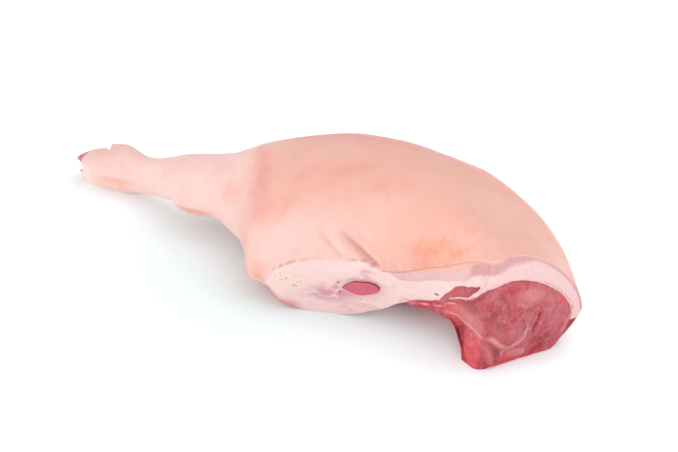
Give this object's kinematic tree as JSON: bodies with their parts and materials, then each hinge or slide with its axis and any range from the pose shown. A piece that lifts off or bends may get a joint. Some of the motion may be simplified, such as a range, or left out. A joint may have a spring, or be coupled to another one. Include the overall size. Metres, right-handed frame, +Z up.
{
  "type": "pork leg",
  "caption": "Whole raw hind leg of pork lying on its inner side, trotter and rind on, with the fat and lean meat showing at the flank side and at the cut face.",
  "frame": {"origin": "centre of the bounding box at the surface the leg lies on", "axes": "+X along the leg from the trotter to the cut face, +Y across the leg towards its tail side, +Z up from the surface it lies on"},
  "size_m": [0.7778, 0.2804, 0.171],
  "materials": {
    "rind": "smooth pale pink pig skin, slightly moist, over pinkish white fat",
    "lean": "moist raw lean pork with thin white seams",
    "flank": "smooth moist red muscle"
  },
  "bodies": {
    "root": {"rind_and_fat": "rind", "lean_meat": "lean", "flank_muscle": "flank"}
  },
  "joints": []
}
